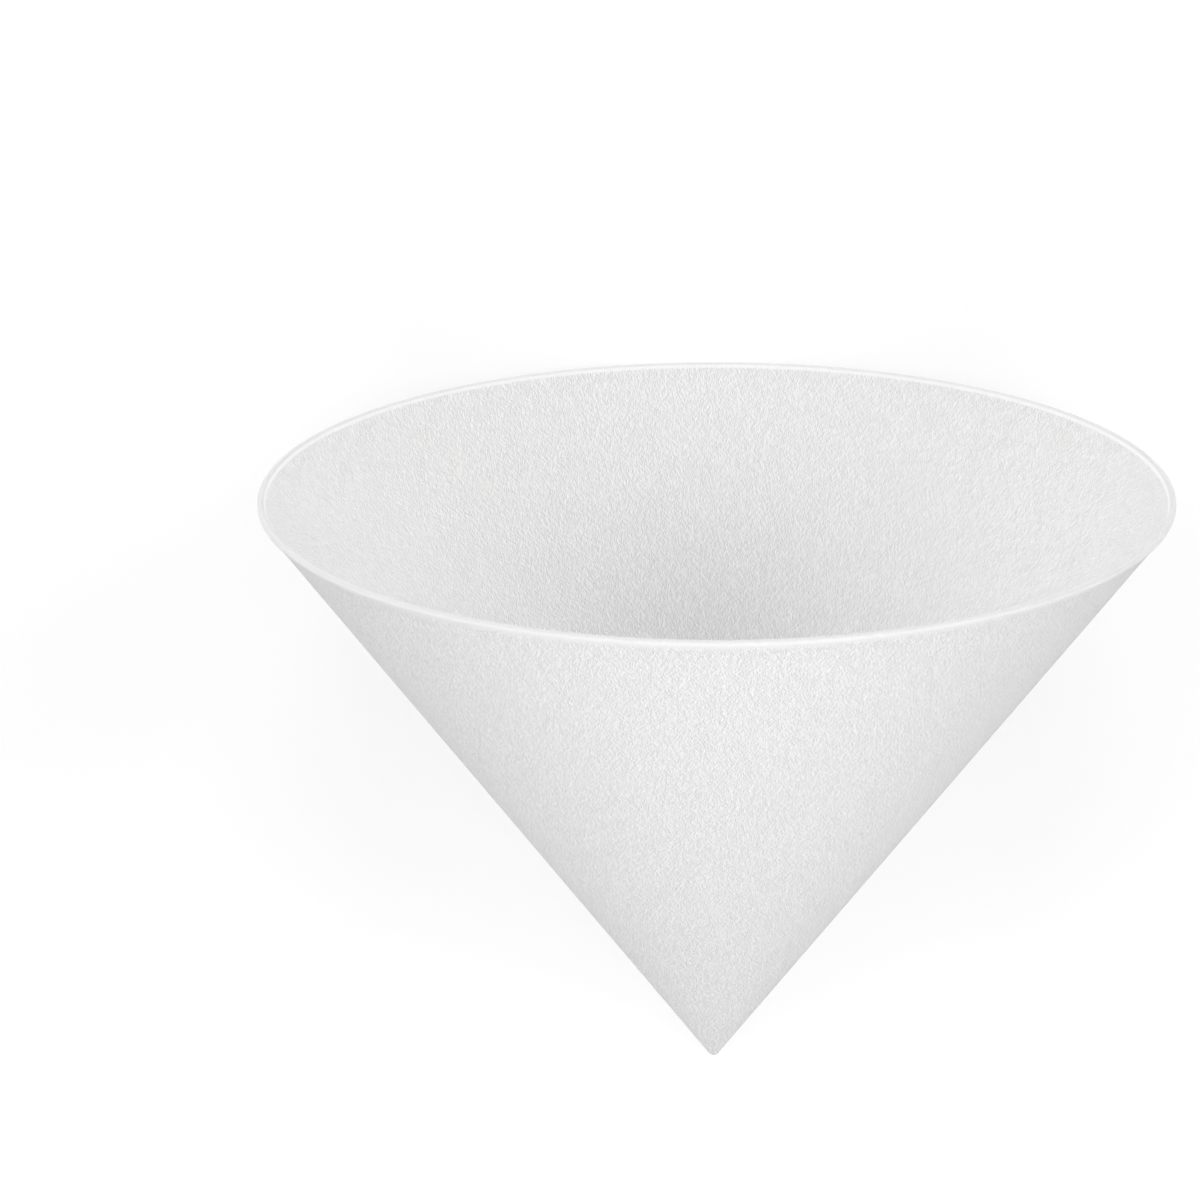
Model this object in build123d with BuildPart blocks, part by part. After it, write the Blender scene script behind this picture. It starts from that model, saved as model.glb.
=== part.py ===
"""Fryer oil filter cone: one sheet of white nonwoven wrapped to a cone and closed by an overlocked seam.

The cone lies on its side, as it comes to rest when nothing holds it. The tip points along -Y, the
mouth opens towards +Y and upwards, and +Z is up. All sizes are in millimetres.
"""

import os
from math import atan2, cos, degrees, floor, hypot, radians, sin

from build123d import *

os.makedirs("parts", exist_ok=True)

# Cone
mouth_diameter = 254.0  # across the outside of the wall, at the mouth
cone_depth = 178.0  # from the mouth to the point where the outside of the wall would meet
sheet_thickness = 1.2
tip_inner_radius = 0.6  # inside of the rounded tip
flat_spot_depth = 0.2  # how far the soft wall is pressed in along the line it lies on

# Lip round the mouth, where the sheet swells to a soft round edge
lip_bulge = 0.35  # how far the lip stands proud of each face of the sheet
lip_swell = 3.0  # length of wall over which the sheet thickens towards the lip
lip_sweep = 90.0  # angle of the round top, between two straight shoulders

# Seam fin, where the two straight edges of the sheet stand out side by side
seam_angle = 125.0  # round the cone from its upper side, towards -X
seam_allowance = 4.5  # how far the fin stands out from the wall
seam_layer = 0.7  # thickness of each of its two layers, pressed by the stitches
seam_start = 7.0  # along the wall from the sharp tip to the fin's lower end
seam_start_allowance = 1.0  # how far the fin stands out there
seam_run_in = 30.0  # length over which the fin rises to its full height

# Overlock stitches over the edge of the fin
stitch_pitch = 2.6
needle_height = 0.9  # of the needle lines above the wall
thread_diameter = 0.5
bar_width = 1.8  # the looper threads of one stitch lie side by side and fill most of the pitch
stitch_margin = 2.5  # from each end of the fin's full height to the first stitch

# Cone geometry in the plane of its axis
mouth_radius = mouth_diameter / 2
half_angle = degrees(atan2(mouth_radius, cone_depth))
wall_sin = sin(radians(half_angle))
wall_cos = cos(radians(half_angle))
slant_length = hypot(mouth_radius, cone_depth)
lip_radius = sheet_thickness / 2 + lip_bulge
lip_centre = (
    mouth_radius - sheet_thickness / 2 * wall_cos,
    cone_depth + sheet_thickness / 2 * wall_sin,
)
tip_radius = tip_inner_radius + sheet_thickness
tip_centre = tip_radius / wall_sin

# Seam geometry along the wall, measured from the sharp tip, and across the fin
full_height_start = seam_start + seam_run_in
fin_end = slant_length
fin_root = sheet_thickness / 2
fin_half = seam_layer

# The part is centred over the floor along Y
front_reach = tip_centre * wall_cos - tip_radius
back_reach = lip_centre[1] * wall_cos + lip_centre[0] * wall_sin + lip_radius
sharp_tip = Vector(0, -(front_reach + back_reach) / 2, -flat_spot_depth)

# Directions: along the axis, from the axis to the upper side, and to the seam's line on the wall
axis_direction = Vector(0, wall_cos, wall_sin)
upper_direction = Vector(0, -wall_sin, wall_cos)
side_direction = Vector(-1, 0, 0)
seam_cos = cos(radians(seam_angle))
seam_sin = sin(radians(seam_angle))
seam_radial = upper_direction * seam_cos + side_direction * seam_sin
seam_along = seam_radial * wall_sin + axis_direction * wall_cos
seam_across = side_direction * seam_cos - upper_direction * seam_sin

cone_axis = Axis(sharp_tip, axis_direction)
section_plane = Plane(origin=sharp_tip, x_dir=upper_direction, z_dir=side_direction)
fin_plane = Plane(origin=sharp_tip, x_dir=seam_along, z_dir=seam_across * -1)


# Filter cone: the wall with its round lip is turned about the axis, and the floor presses its flat spot
with BuildPart() as filter_cone:
    with BuildSketch(section_plane):
        with BuildLine():
            tip_outside = CenterArc((0, tip_centre), tip_radius, -90, 90 - half_angle)
            tip_inside = CenterArc((0, tip_centre), tip_inner_radius, -90, 90 - half_angle)
            lip_top = CenterArc(lip_centre, lip_radius, 90 - half_angle - lip_sweep / 2, lip_sweep)
            lip_outside = (
                lip_centre[0] + lip_radius * wall_cos,
                lip_centre[1] - lip_radius * wall_sin,
            )
            lip_inside = (
                lip_centre[0] - lip_radius * wall_cos,
                lip_centre[1] + lip_radius * wall_sin,
            )
            swell_outside = (
                (slant_length - lip_swell) * wall_sin,
                (slant_length - lip_swell) * wall_cos,
            )
            swell_inside = (
                swell_outside[0] - sheet_thickness * wall_cos,
                swell_outside[1] + sheet_thickness * wall_sin,
            )
            Polyline(tip_outside @ 1, swell_outside, lip_outside, lip_top @ 0)
            Polyline(lip_top @ 1, lip_inside, swell_inside, tip_inside @ 1)
            Line(tip_inside @ 0, tip_outside @ 0)
        make_face()
    revolve(axis=cone_axis)
    split(bisect_by=Plane.XY, keep=Keep.TOP)

    # The seam fin follows the wall from the tip to the lip and rises over its run-in
    with BuildSketch(fin_plane):
        with BuildLine():
            Polyline(
                (seam_start, -fin_root),
                (fin_end, -fin_root),
                (fin_end, seam_allowance),
                (full_height_start, seam_allowance),
                (seam_start, seam_start_allowance),
                close=True,
            )
        make_face()
    extrude(amount=fin_half, both=True)

filter_cone.part.label = "filter_cone"
export_step(filter_cone.part, "parts/filter_cone.step")


# Overlock thread: a needle line on each face of the fin, tied over its edge by a row of looper bars
first_stitch = full_height_start + stitch_margin
last_stitch = fin_end - stitch_margin
stitch_count = floor((last_stitch - first_stitch) / stitch_pitch) + 1
stitch_run = (stitch_count - 1) * stitch_pitch
first_stitch_plane = Plane(
    origin=sharp_tip + seam_along * (first_stitch - bar_width / 2),
    x_dir=seam_across,
    z_dir=seam_along,
)
thread_half = fin_half + thread_diameter
stitch_planes = [first_stitch_plane.offset(stitch * stitch_pitch) for stitch in range(stitch_count)]

with BuildPart() as seam_thread:
    with BuildSketch(*stitch_planes):
        with BuildLine():
            Polyline(
                (-fin_half, needle_height),
                (-thread_half, needle_height),
                (-thread_half, seam_allowance + thread_diameter),
                (thread_half, seam_allowance + thread_diameter),
                (thread_half, needle_height),
                (fin_half, needle_height),
                (fin_half, seam_allowance),
                (-fin_half, seam_allowance),
                close=True,
            )
        make_face()
    extrude(amount=bar_width)
    with BuildSketch(first_stitch_plane):
        for face in (-1, 1):
            with Locations((face * (fin_half + thread_diameter / 2), needle_height)):
                Rectangle(thread_diameter, thread_diameter)
    extrude(amount=stitch_run + bar_width)

seam_thread.part.label = "seam_thread"
export_step(seam_thread.part, "parts/seam_thread.step")
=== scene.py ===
from math import atan2, cos, hypot, pi, radians, sin
from random import Random

import bmesh
import bpy
from mathutils import Matrix, Vector


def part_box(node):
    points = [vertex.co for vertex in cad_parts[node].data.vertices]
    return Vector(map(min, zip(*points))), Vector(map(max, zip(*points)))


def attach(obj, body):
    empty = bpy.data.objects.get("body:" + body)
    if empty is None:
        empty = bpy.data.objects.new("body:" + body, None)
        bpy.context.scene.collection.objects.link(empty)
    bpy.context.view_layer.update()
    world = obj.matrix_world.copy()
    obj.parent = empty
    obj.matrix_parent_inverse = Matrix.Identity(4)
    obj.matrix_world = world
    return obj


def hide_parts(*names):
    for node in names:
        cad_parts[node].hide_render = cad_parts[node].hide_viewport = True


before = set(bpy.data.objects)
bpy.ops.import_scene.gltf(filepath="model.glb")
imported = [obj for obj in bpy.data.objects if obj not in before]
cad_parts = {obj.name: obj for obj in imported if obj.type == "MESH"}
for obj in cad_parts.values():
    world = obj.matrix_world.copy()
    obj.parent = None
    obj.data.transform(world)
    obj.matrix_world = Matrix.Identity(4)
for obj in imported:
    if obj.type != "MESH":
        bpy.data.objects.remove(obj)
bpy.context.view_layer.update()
scene = bpy.context.scene
scene.view_settings.view_transform = "Standard"


# Filter sheet: one sector of white crinkled nonwoven, wrapped round until its straight edges meet.
# The cut edge round the mouth swells to a soft round lip, and the tip is drawn up round.
# The wall is turned about the cone's own axis, and the floor presses it where it lies.
mouth_radius = 0.127
cone_depth = 0.178
sheet_thickness = 0.0012
tip_inner_radius = 0.0006
lip_radius = 0.00095
lip_swell = 0.003
flat_spot_depth = 0.0002

half_angle = atan2(mouth_radius, cone_depth)
wall_sin = sin(half_angle)
wall_cos = cos(half_angle)
slant_length = hypot(mouth_radius, cone_depth)
tip_outer_radius = tip_inner_radius + sheet_thickness
tip_centre = Vector((0, 0, tip_outer_radius / wall_sin))
wall_along = Vector((wall_sin, 0, wall_cos))
wall_out = Vector((wall_cos, 0, -wall_sin))
lip_centre = wall_along * slant_length - wall_out * sheet_thickness / 2

# The cone is shaped standing on its tip, and this lays it down on its side in the frame
cone_low, cone_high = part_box("filter_cone")
sharp_tip_y = cone_low.y - (tip_centre.z * wall_cos - tip_outer_radius)
lie_down = Matrix(
    (
        (0, 1, 0, 0),
        (-wall_sin, 0, wall_cos, sharp_tip_y),
        (wall_cos, 0, wall_sin, -flat_spot_depth),
        (0, 0, 0, 1),
    )
)

# The wall's section goes from the tip up the outside, over the lip and down the inside
tip_outside_steps = 6
lip_steps = 12
tip_inside_steps = 4
wall_cuts = 71
steps_round_axis = 240
merge_distance = 1e-6
wall = bmesh.new()


def draw_line(start, place):
    """A straight run of the wall's section, from the vertex start; gives its far end and its edge."""
    end = wall.verts.new(place)
    return end, wall.edges.new((start, end))


def draw_arc(start, centre, angle, steps):
    """A round run of the wall's section, turned about centre; gives its far end."""
    turned = bmesh.ops.spin(
        wall, geom=[start], cent=centre, axis=(0, 1, 0), angle=angle, steps=steps
    )
    return [part for part in turned["geom_last"] if isinstance(part, bmesh.types.BMVert)][0]


tip_turn = pi / 2 - half_angle
tip_bottom = wall.verts.new(tip_centre - Vector((0, 0, tip_outer_radius)))
tip_outside = draw_arc(tip_bottom, tip_centre, -tip_turn, tip_outside_steps)
swell_place = wall_along * (slant_length - lip_swell)
swell_outside, outer_wall = draw_line(tip_outside, swell_place)
lip_outside, _ = draw_line(swell_outside, lip_centre + wall_out * lip_radius)
lip_inside = draw_arc(lip_outside, lip_centre, -pi, lip_steps)
swell_inside, _ = draw_line(lip_inside, swell_place - wall_out * sheet_thickness)
tip_inside, inner_wall = draw_line(swell_inside, tip_centre + wall_out * tip_inner_radius)
tip_top = draw_arc(tip_inside, tip_centre, tip_turn, tip_inside_steps)
tip_top.co.x = 0
bmesh.ops.subdivide_edges(wall, edges=[outer_wall, inner_wall], cuts=wall_cuts)
bmesh.ops.spin(
    wall,
    geom=wall.verts[:] + wall.edges[:],
    cent=(0, 0, 0),
    axis=(0, 0, 1),
    angle=2 * pi,
    steps=steps_round_axis,
    use_merge=True,
)
bmesh.ops.remove_doubles(wall, verts=wall.verts, dist=merge_distance)
bmesh.ops.recalc_face_normals(wall, faces=wall.faces)

# Seam fin: the two straight edges of the sheet, standing out side by side along the wall.
# The overlock stitches press them together, and they run out towards the tip.
# A strip of the wall is cut free and raised, with a groove between the two rounded layers.
seam_angle = radians(-125)
seam_layer = 0.0007
seam_allowance = 0.0045
seam_start = 0.007
seam_start_allowance = 0.001
seam_run_in = 0.030
seam_end = slant_length - 0.0008
seam_turn_out = 0.0008
seam_reach = 0.006
seam_root_rise = 0.0005
seam_root_inset = 0.004
layer_groove = 0.0004
layer_rounding = 0.00025
layer_rounding_steps = 3
cut_tolerance = 1e-7
edge_tolerance = 1e-5

seam_turn = Matrix.Rotation(seam_angle, 3, "Z")
seam_along = seam_turn @ wall_along
seam_out = seam_turn @ wall_out
seam_across = seam_turn @ Vector((0, 1, 0))


def seam_faces(half_width):
    """The faces of the outer wall within half_width of the seam's line."""
    found = []
    for face in wall.faces:
        middle = face.calc_center_median()
        on_outside = abs(middle.dot(seam_out)) < sheet_thickness / 2
        in_reach = seam_start < middle.dot(seam_along) < seam_end
        if on_outside and in_reach and abs(middle.dot(seam_across)) < half_width:
            found.append(face)
    return found


def cut_wall(offset):
    """A straight cut up the outer wall, at this offset across the seam's line."""
    near = seam_faces(seam_reach)
    edges = {edge for face in near for edge in face.edges}
    corners = {vert for face in near for vert in face.verts}
    bmesh.ops.bisect_plane(
        wall,
        geom=near + list(edges) + list(corners),
        dist=cut_tolerance,
        plane_co=seam_across * offset,
        plane_no=seam_across,
    )


for cut in (-seam_layer - seam_turn_out, -seam_layer, 0, seam_layer, seam_layer + seam_turn_out):
    cut_wall(cut)

strip = seam_faces(seam_layer)
strip_edges = {edge for face in strip for edge in face.edges}
strip_rim = [edge for edge in strip_edges if sum(face in strip for face in edge.link_faces) == 1]
roots = {vert for edge in strip_rim for vert in edge.verts}
raised = bmesh.ops.extrude_face_region(wall, geom=strip)
bmesh.ops.delete(wall, geom=strip, context="FACES")
top_verts = {part for part in raised["geom"] if isinstance(part, bmesh.types.BMVert)}
for vert in top_verts:
    rise = min(max((vert.co.dot(seam_along) - seam_start) / seam_run_in, 0), 1)
    height = seam_start_allowance + (seam_allowance - seam_start_allowance) * rise
    if abs(vert.co.dot(seam_across)) < seam_layer / 2:
        height -= layer_groove
    vert.co += seam_out * height
for vert in roots:
    if seam_start + seam_root_inset < vert.co.dot(seam_along) < seam_end - seam_root_inset:
        vert.co += seam_out * seam_root_rise


def on_layer_edge(vert):
    """Whether a vertex lies on the outer edge of one of the fin's two layers, at its top."""
    across = abs(vert.co.dot(seam_across))
    return vert in top_verts and abs(across - seam_layer) < edge_tolerance


fin_edges = {edge for vert in top_verts for edge in vert.link_edges}
bmesh.ops.bevel(
    wall,
    geom=[edge for edge in fin_edges if all(on_layer_edge(vert) for vert in edge.verts)],
    offset=layer_rounding,
    segments=layer_rounding_steps,
    profile=0.5,
    affect="EDGES",
    material=-1,
    clamp_overlap=True,
)

# The finished wall is laid on its side, and the floor presses a narrow flat spot along it
sharp_bend = radians(60)
wall.transform(lie_down)
for vert in wall.verts:
    vert.co.z = max(vert.co.z, 0)
filter_mesh = bpy.data.meshes.new("filter_sheet")
wall.to_mesh(filter_mesh)
wall.free()
filter_mesh.shade_smooth()
filter_mesh.set_sharp_from_angle(angle=sharp_bend)
filter_sheet = bpy.data.objects.new("filter_sheet", filter_mesh)
scene.collection.objects.link(filter_sheet)

# The nonwoven's finish is a fine crinkle whose ridges run up the wall, in two tones of white: darker
# in the furrows, partly the fibres' own uneven tone and partly painted shade.
# The lip is smoother; its inside is painted lighter, as a painted highlight, and its top, where the
# sheet was cut, is painted grey, as painted shade.
sheet_white = (0.93, 0.93, 0.93, 1)
# The furrows' darker tone: part the sheet's own grey, part painted shade
sheet_grey_and_furrow_shade = (0.71, 0.71, 0.71, 1)
lip_outside_white = (0.80, 0.80, 0.80, 1)
# The lip's inside is painted lighter than its outside: a painted highlight
lip_inside_painted_highlight = (0.89, 0.89, 0.89, 1)
# The lip's top is painted grey: painted shade on its crest
lip_top_painted_shade = (0.75, 0.75, 0.75, 1)
sheet_gloss = 0.2
furrow_roughness = 0.78
ridge_roughness = 0.95
crinkle_width = 0.00092
crinkle_break_up = 1150
crinkle_swing = 0.24
crinkle_depth = 0.0003
crinkle_strength = 0.8
lip_crinkle_share = 0.3
ring_step = 1.25
lip_smooth_from = slant_length - 0.0014
lip_smooth_to = slant_length - 0.0008
# Where the painted shade on the lip's top begins and is full
lip_top_shade_from = lip_centre.z + 0.2 * lip_radius
lip_top_shade_to = lip_centre.z + 0.75 * lip_radius
nonwoven = bpy.data.materials.new("nonwoven")
nonwoven.use_nodes = True
filter_mesh.materials.append(nonwoven)


def add_node(material, kind, **settings):
    """A shader node of this kind, with its settings and the values or sources of its inputs."""
    node = material.node_tree.nodes.new(kind)
    for name, value in settings.items():
        name = name.replace("_", " ") if name[0].isupper() else name
        if name not in node.inputs:
            setattr(node, name, value)
        elif isinstance(value, bpy.types.NodeSocket):
            material.node_tree.links.new(value, node.inputs[name])
        else:
            node.inputs[name].default_value = value
    return node


def join(material, source, target):
    """A link from one node's socket to another's."""
    material.node_tree.links.new(source, target)


def reckon(material, operation, *values, kind="ShaderNodeMath", result="Value"):
    """A sum or the like on numbers or other nodes' sockets; gives the result's socket."""
    node = add_node(material, kind, operation=operation)
    for socket, value in zip(node.inputs, values):
        if isinstance(value, bpy.types.NodeSocket):
            join(material, value, socket)
        else:
            socket.default_value = value
    return node.outputs[result]


def measure(material, operation, *vectors):
    """A length or the like, reckoned from vectors; gives the result's socket."""
    return reckon(material, operation, *vectors, kind="ShaderNodeVectorMath")


def move(material, operation, *vectors):
    """A vector, reckoned from other vectors; gives the result's socket."""
    return reckon(material, operation, *vectors, kind="ShaderNodeVectorMath", result="Vector")


def stretch(material, value, low, high, new_low=0, new_high=1, ease="LINEAR"):
    """A value brought from the range low to high to a new one, and held at its ends."""
    node = add_node(
        material,
        "ShaderNodeMapRange",
        interpolation_type=ease,
        Value=value,
        From_Min=low,
        From_Max=high,
        To_Min=new_low,
        To_Max=new_high,
    )
    return node.outputs["Result"]


def blend_tones(material, share, first, second):
    """A colour that goes from first to second as share goes from 0 to 1."""
    node = add_node(material, "ShaderNodeMix", data_type="RGBA", Factor=share, A=first, B=second)
    return node.outputs["Result"]


def add_bump(material, height, strength, depth):
    """Fine relief of this height; gives the bent normal's socket."""
    node = add_node(material, "ShaderNodeBump", Strength=strength, Distance=depth, Height=height)
    return node.outputs["Normal"]


stand_up = add_node(
    nonwoven,
    "ShaderNodeMapping",
    vector_type="TEXTURE",
    Vector=add_node(nonwoven, "ShaderNodeTexCoord").outputs["Object"],
    Location=lie_down.translation,
    Rotation=lie_down.to_euler(),
)
on_cone = stand_up.outputs["Vector"]
cone_place = add_node(nonwoven, "ShaderNodeSeparateXYZ", Vector=on_cone).outputs
turn = reckon(nonwoven, "ARCTAN2", cone_place["Y"], cone_place["X"])
from_tip = measure(nonwoven, "LENGTH", on_cone)
from_axis = measure(nonwoven, "LENGTH", move(nonwoven, "MULTIPLY", on_cone, (1, 1, 0)))

# A whole number of ridges goes round each ring of the wall, so that they meet behind. Each ring fades
# into the next and wider one, so that the ridges keep their width from the tip to the mouth.
ridges_per_metre = 2 * pi * wall_sin / crinkle_width
ring_level = reckon(nonwoven, "LOGARITHM", from_tip, ring_step)
ring_number = reckon(nonwoven, "FLOOR", ring_level)
ring_share = reckon(nonwoven, "FRACT", ring_level)


def ring_crinkle(ring, share):
    """The broken ridges of one ring of the wall, as strong as its share."""
    ring_index = reckon(nonwoven, "ADD", ring_number, ring)
    ring_reach = reckon(nonwoven, "POWER", ring_step, ring_index)
    ridges = reckon(nonwoven, "ROUND", reckon(nonwoven, "MULTIPLY", ring_reach, ridges_per_metre))
    ridge_turn = reckon(nonwoven, "MULTIPLY", ridges, turn)
    ridge_wave = add_node(
        nonwoven,
        "ShaderNodeCombineXYZ",
        X=reckon(nonwoven, "COSINE", ridge_turn),
        Y=reckon(nonwoven, "SINE", ridge_turn),
    )
    ring_aside = add_node(nonwoven, "ShaderNodeCombineXYZ", Z=ring_index)
    ring_place = move(nonwoven, "ADD", on_cone, ring_aside.outputs["Vector"])
    break_up = add_node(
        nonwoven, "ShaderNodeTexNoise", Vector=ring_place, Scale=crinkle_break_up, Detail=0
    )
    centred = move(nonwoven, "SUBTRACT", break_up.outputs["Color"], (0.5, 0.5, 0.5))
    broken_wave = measure(nonwoven, "DOT_PRODUCT", ridge_wave.outputs["Vector"], centred)
    return reckon(nonwoven, "MULTIPLY", broken_wave, reckon(nonwoven, "SQRT", share))


this_ring = ring_crinkle(0, reckon(nonwoven, "SUBTRACT", 1, ring_share))
next_ring = ring_crinkle(1, ring_share)
crinkle = reckon(nonwoven, "ADD", this_ring, next_ring)
crinkle_relief = stretch(nonwoven, crinkle, -crinkle_swing, crinkle_swing)

# The lip is told by its distance from the tip, its inside by the place across the sheet's thickness
across_sheet = reckon(
    nonwoven,
    "SUBTRACT",
    reckon(nonwoven, "MULTIPLY", cone_place["Z"], wall_sin),
    reckon(nonwoven, "MULTIPLY", from_axis, wall_cos),
)
inside_highlight_share = stretch(nonwoven, across_sheet, sheet_thickness / 3, sheet_thickness, ease="SMOOTHSTEP")
on_lip = stretch(nonwoven, from_tip, lip_smooth_from, lip_smooth_to, ease="SMOOTHSTEP")
# The lip's top, above its middle, is painted grey as painted shade
lip_top_shade_share = stretch(nonwoven, cone_place["Z"], lip_top_shade_from, lip_top_shade_to, ease="SMOOTHSTEP")
# The crinkle's colour is darker in its furrows: partly the sheet's own uneven tone, partly painted
# shade
crinkle_tone_and_shade = blend_tones(nonwoven, crinkle_relief, sheet_grey_and_furrow_shade, sheet_white)
# The lip's inside is painted lighter as a painted highlight
lip_white_and_highlight = blend_tones(nonwoven, inside_highlight_share, lip_outside_white, lip_inside_painted_highlight)
lip_tone = blend_tones(nonwoven, on_lip, crinkle_tone_and_shade, lip_white_and_highlight)
sheet_tone_with_painted_light = blend_tones(nonwoven, lip_top_shade_share, lip_tone, lip_top_painted_shade)

sheet_roughness = stretch(nonwoven, crinkle_relief, 0, 1, furrow_roughness, ridge_roughness)
crinkle_share = stretch(nonwoven, on_lip, 0, 1, 1, lip_crinkle_share)
crinkle_height = reckon(nonwoven, "MULTIPLY", crinkle_relief, crinkle_share)
crinkle_bump = add_bump(nonwoven, crinkle_height, crinkle_strength, crinkle_depth)
nonwoven_shader = nonwoven.node_tree.nodes["Principled BSDF"].inputs
nonwoven_shader["Specular IOR Level"].default_value = sheet_gloss
join(nonwoven, sheet_tone_with_painted_light, nonwoven_shader["Base Color"])
join(nonwoven, sheet_roughness, nonwoven_shader["Roughness"])
join(nonwoven, crinkle_bump, nonwoven_shader["Normal"])

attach(filter_sheet, "root")
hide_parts("filter_cone")


# Overlock thread: soft spun thread, sewn over the edge of the seam fin to hold its two layers shut.
# Its loops cross the edge twice at each stitch, and a straight needle thread ties them on each face.
thread_radius = 0.00034
thread_seat = 0.8 * thread_radius
thread_rounding = 1
steps_per_point = 3
stitch_pitch = 0.0026
stitch_margin = 0.0025
first_stitch = seam_start + seam_run_in + stitch_margin
stitch_count = int((slant_length - stitch_margin - first_stitch) / stitch_pitch) + 1
face_height = seam_layer + thread_seat

# Heights of the thread above the wall, from the needle line to the edge of the fin
needle_height = 0.0009
under_needle = needle_height - 0.0003
middle_height = 0.0026
shoulder_height = seam_allowance - 0.0004
edge_height = seam_allowance + thread_seat

# One stitch of the looper thread: its places along the fin, across it as a share of face_height,
# and above the wall
looper_stitch = (
    (-0.00085, -1.00, needle_height),
    (-0.00090, -1.02, middle_height),
    (-0.00088, -1.00, shoulder_height),
    (-0.00078, 0.00, edge_height),
    (-0.00066, 1.00, shoulder_height),
    (-0.00062, 1.02, middle_height),
    (-0.00055, 1.00, needle_height),
    (-0.00020, 1.30, under_needle),
    (0.00015, 1.00, needle_height),
    (0.00018, 1.02, middle_height),
    (0.00010, 1.00, shoulder_height),
    (0.00002, 0.00, edge_height),
    (-0.00010, -1.00, shoulder_height),
    (-0.00012, -1.02, middle_height),
    (0.00000, -1.00, needle_height),
    (0.00085, -1.30, under_needle),
)

# One stitch of a needle thread, along the fin and across it: it lies on the loops and dips between
needle_stitch = (
    (-0.0009, 1.35),
    (0.0006, 1.35),
    (0.0011, 0.60),
)


def on_fin(along, across, out):
    """A place on the seam fin, in the cone's lying pose."""
    return lie_down @ (seam_along * along + seam_across * across * face_height + seam_out * out)


thread_curve = bpy.data.curves.new("overlock_thread", "CURVE")
thread_curve.dimensions = "3D"
thread_curve.bevel_depth = thread_radius
thread_curve.bevel_resolution = thread_rounding
thread_curve.resolution_u = steps_per_point
thread_curve.use_fill_caps = True


def sew(places):
    """One run of thread through these places."""
    spline = thread_curve.splines.new("NURBS")
    spline.points.add(len(places) - 1)
    for point, place in zip(spline.points, places):
        point.co = (*place, 1)
    spline.order_u = 3
    spline.use_endpoint_u = True


# The sheet is fed by hand, so each stitch strays along the fin and leans a little
stitch_stray = 0.00028
stitch_lean = 0.045
hand_feed = Random(5)
stitch_lines = []
for stitch in range(stitch_count):
    stray = hand_feed.uniform(-stitch_stray, stitch_stray)
    lean = hand_feed.uniform(-stitch_lean, stitch_lean)
    stitch_lines.append((first_stitch + stitch * stitch_pitch + stray, lean))
looper_run = []
for line, lean in stitch_lines:
    for along, across, out in looper_stitch:
        looper_run.append(on_fin(line + along + lean * (out - needle_height), across, out))
sew(looper_run)
for fin_face in (-1, 1):
    needle_run = []
    for line, _ in stitch_lines:
        for along, across in needle_stitch:
            needle_run.append(on_fin(line + along, fin_face * across, needle_height))
    sew(needle_run)

thread_shape = bpy.data.objects.new("thread_shape", thread_curve)
scene.collection.objects.link(thread_shape)
bpy.context.view_layer.update()
thread_mesh = bpy.data.meshes.new_from_object(
    thread_shape.evaluated_get(bpy.context.evaluated_depsgraph_get())
)
bpy.data.objects.remove(thread_shape)
thread_mesh.name = "overlock_thread"
thread_mesh.shade_smooth()
overlock_thread = bpy.data.objects.new("overlock_thread", thread_mesh)
scene.collection.objects.link(overlock_thread)

# The thread's finish: plies that cross it on the slant, and loose fibres that break them up. Its
# colour is darker in the grooves between the plies, as painted shade, and varies with the fibres.
thread_white = (0.95, 0.95, 0.95, 1)
# The darker tone: painted shade in the ply grooves, with the fibres' own grey
thread_grey_and_groove_shade = (0.76, 0.76, 0.76, 1)
thread_gloss = 0.25
groove_roughness = 0.9
ply_roughness = 0.7
ply_width = 0.00042
ply_slant = lie_down.to_3x3() @ (seam_along + seam_out).normalized()
ply_share = 0.6
ply_depth = 0.00012
ply_strength = 0.7
fibre_scale = 5200
fibre_waver = 3.2
sewing_thread = bpy.data.materials.new("sewing_thread")
sewing_thread.use_nodes = True
thread_mesh.materials.clear()
thread_mesh.materials.append(sewing_thread)
on_thread = add_node(sewing_thread, "ShaderNodeTexCoord").outputs["Object"]
fibres = add_node(
    sewing_thread, "ShaderNodeTexNoise", Vector=on_thread, Scale=fibre_scale, Detail=2
).outputs["Fac"]
across_plies = measure(sewing_thread, "DOT_PRODUCT", on_thread, ply_slant)
ply_turn = reckon(
    sewing_thread,
    "ADD",
    reckon(sewing_thread, "MULTIPLY", across_plies, 2 * pi / ply_width),
    reckon(sewing_thread, "MULTIPLY", fibres, fibre_waver),
)
ply_relief = stretch(sewing_thread, reckon(sewing_thread, "SINE", ply_turn), -1, 1)
thread_relief = reckon(
    sewing_thread,
    "ADD",
    reckon(sewing_thread, "MULTIPLY", ply_relief, ply_share),
    reckon(sewing_thread, "MULTIPLY", fibres, 1 - ply_share),
)
# Painted shade in the grooves between plies, with the fibres' own uneven tone
thread_tone_and_shade = blend_tones(sewing_thread, thread_relief, thread_grey_and_groove_shade, thread_white)
thread_roughness = stretch(sewing_thread, thread_relief, 0, 1, groove_roughness, ply_roughness)
thread_bump = add_bump(sewing_thread, thread_relief, ply_strength, ply_depth)
thread_shader = sewing_thread.node_tree.nodes["Principled BSDF"].inputs
thread_shader["Specular IOR Level"].default_value = thread_gloss
join(sewing_thread, thread_tone_and_shade, thread_shader["Base Color"])
join(sewing_thread, thread_roughness, thread_shader["Roughness"])
join(sewing_thread, thread_bump, thread_shader["Normal"])

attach(overlock_thread, "root")
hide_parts("seam_thread")


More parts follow.
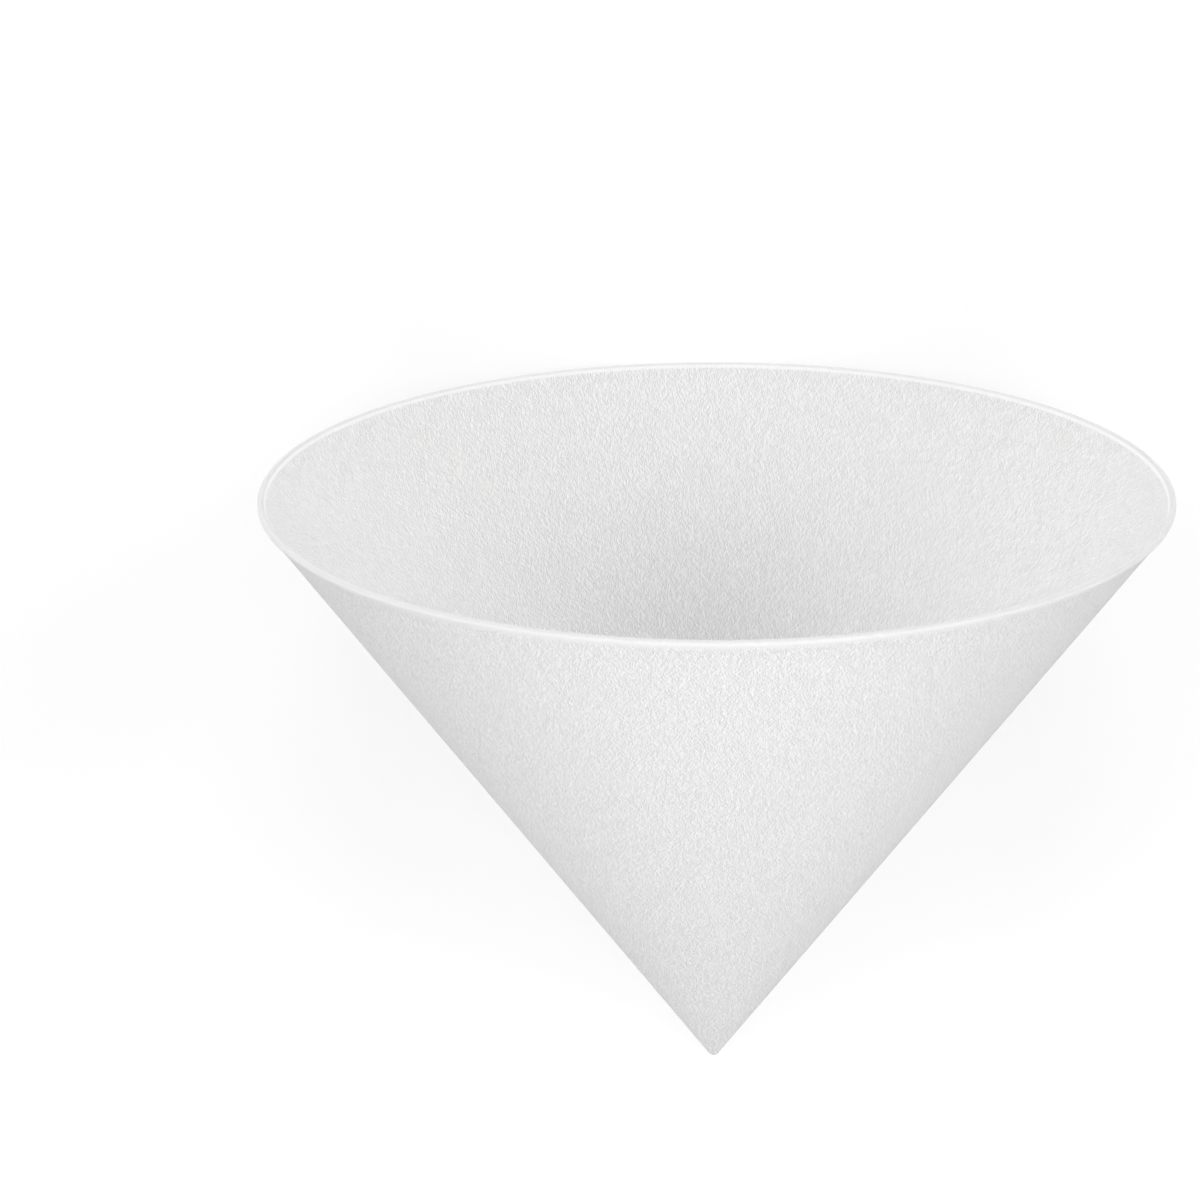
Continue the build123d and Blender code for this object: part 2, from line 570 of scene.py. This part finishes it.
# Floor: a plain white studio table, wide enough for every view.
# It shows white to the camera and keeps a soft shadow, and throws less light back than it shows.
# Away from the cone it fades to plain white, so that no view has a horizon.
table_reach = 6
table_seen = (0.97, 0.97, 0.97, 1)
table_bounce = (0.5, 0.5, 0.5, 1)
table_glow = 0.5
fade_from = 0.28
fade_to = 0.75
floor_mesh = bpy.data.meshes.new("floor")
floor_shape = bmesh.new()
bmesh.ops.create_grid(floor_shape, x_segments=1, y_segments=1, size=table_reach)
floor_shape.to_mesh(floor_mesh)
floor_shape.free()
floor = bpy.data.objects.new("floor", floor_mesh)
scene.collection.objects.link(floor)
table_white = bpy.data.materials.new("table_white")
table_white.use_nodes = True
floor_mesh.materials.append(table_white)
table_white.node_tree.nodes.clear()


def seen_rays(material):
    """A socket that is 1 on a ray from the camera, straight or by gloss or glass, and 0 on others."""
    ray = add_node(material, "ShaderNodeLightPath").outputs
    straight_or_gloss = reckon(material, "MAXIMUM", ray["Is Camera Ray"], ray["Is Glossy Ray"])
    return reckon(material, "MAXIMUM", straight_or_gloss, ray["Is Transmission Ray"])


def blend_faces(material, share, first, second):
    """A surface that goes from first to second as share goes from 0 to 1."""
    node = add_node(material, "ShaderNodeMixShader", Fac=share)
    join(material, first, node.inputs[1])
    join(material, second, node.inputs[2])
    return node.outputs["Shader"]


on_table = add_node(table_white, "ShaderNodeTexCoord").outputs["Object"]
from_cone = measure(table_white, "LENGTH", on_table)
glow_share = stretch(table_white, from_cone, fade_from, fade_to, table_glow, 1, ease="SMOOTHSTEP")
bounce_face = add_node(table_white, "ShaderNodeBsdfDiffuse", Color=table_bounce).outputs["BSDF"]
seen_face = add_node(table_white, "ShaderNodeBsdfDiffuse", Color=table_seen).outputs["BSDF"]
glow_face = add_node(table_white, "ShaderNodeEmission", Strength=1).outputs["Emission"]
seen_table = blend_faces(table_white, glow_share, seen_face, glow_face)
table_face = blend_faces(table_white, seen_rays(table_white), bounce_face, seen_table)
add_node(table_white, "ShaderNodeOutputMaterial", Surface=table_face)


# Studio light: a white room, with large soft boxes left, right, overhead and behind.
# Two low ones at the back corners look into the mouth, and a small one, close over the near side,
# makes the light fade towards the tip.
room_white = (1, 1, 1, 1)
room_strength = 0.15
soft_boxes = {
    "left": ((-1.5, 0, 1.2), 1.4, 15.1),
    "right": ((1.5, 0, 1.2), 1.4, 16.5),
    "front": ((0, -0.25, 1.65), 1.0, 2.4),
    "close_front": ((0, -0.45, 0.40), 0.3, 1.56),
    "back": ((0, 1.2, 1.0), 0.8, 5.6),
    "low_left": ((-1.2, 1.0, 0.35), 0.6, 8.0),
    "low_right": ((1.2, 1.0, 0.35), 0.6, 6.3),
}
lit_point = Vector((0, 0, 0.1))
room = bpy.data.worlds.new("room")
room.use_nodes = True
scene.world = room
room_light = room.node_tree.nodes["Background"].inputs
room_light["Color"].default_value = room_white
join(room, stretch(room, seen_rays(room), 0, 1, room_strength, 1), room_light["Strength"])
for box_name, (box_place, box_size, box_power) in soft_boxes.items():
    box_data = bpy.data.lights.new(box_name, "AREA")
    box_data.shape = "SQUARE"
    box_data.size = box_size
    box_data.energy = box_power
    soft_box = bpy.data.objects.new(box_name, box_data)
    soft_box.location = box_place
    soft_box.rotation_mode = "QUATERNION"
    soft_box.rotation_quaternion = (lit_point - soft_box.location).to_track_quat("-Z", "Y")
    soft_box.visible_camera = False
    scene.collection.objects.link(soft_box)


# Camera: a long lens over the tip's end of the cone, looking down into the mouth.
# It looks down so steeply that the lying cone shows as if it stood on its tip.
focal_length = 100
sensor_width = 36
camera_place = (-0.03549, -0.25112, 0.99134)
look_down = radians(74.061)
look_aside = radians(0.682)
looking = Vector(
    (sin(look_aside) * cos(look_down), cos(look_aside) * cos(look_down), -sin(look_down))
)
camera_data = bpy.data.cameras.new("camera")
camera_data.lens = focal_length
camera_data.sensor_width = sensor_width
camera = bpy.data.objects.new("camera", camera_data)
camera.location = camera_place
camera.rotation_mode = "QUATERNION"
camera.rotation_quaternion = looking.to_track_quat("-Z", "Y")
scene.collection.objects.link(camera)
scene.camera = camera
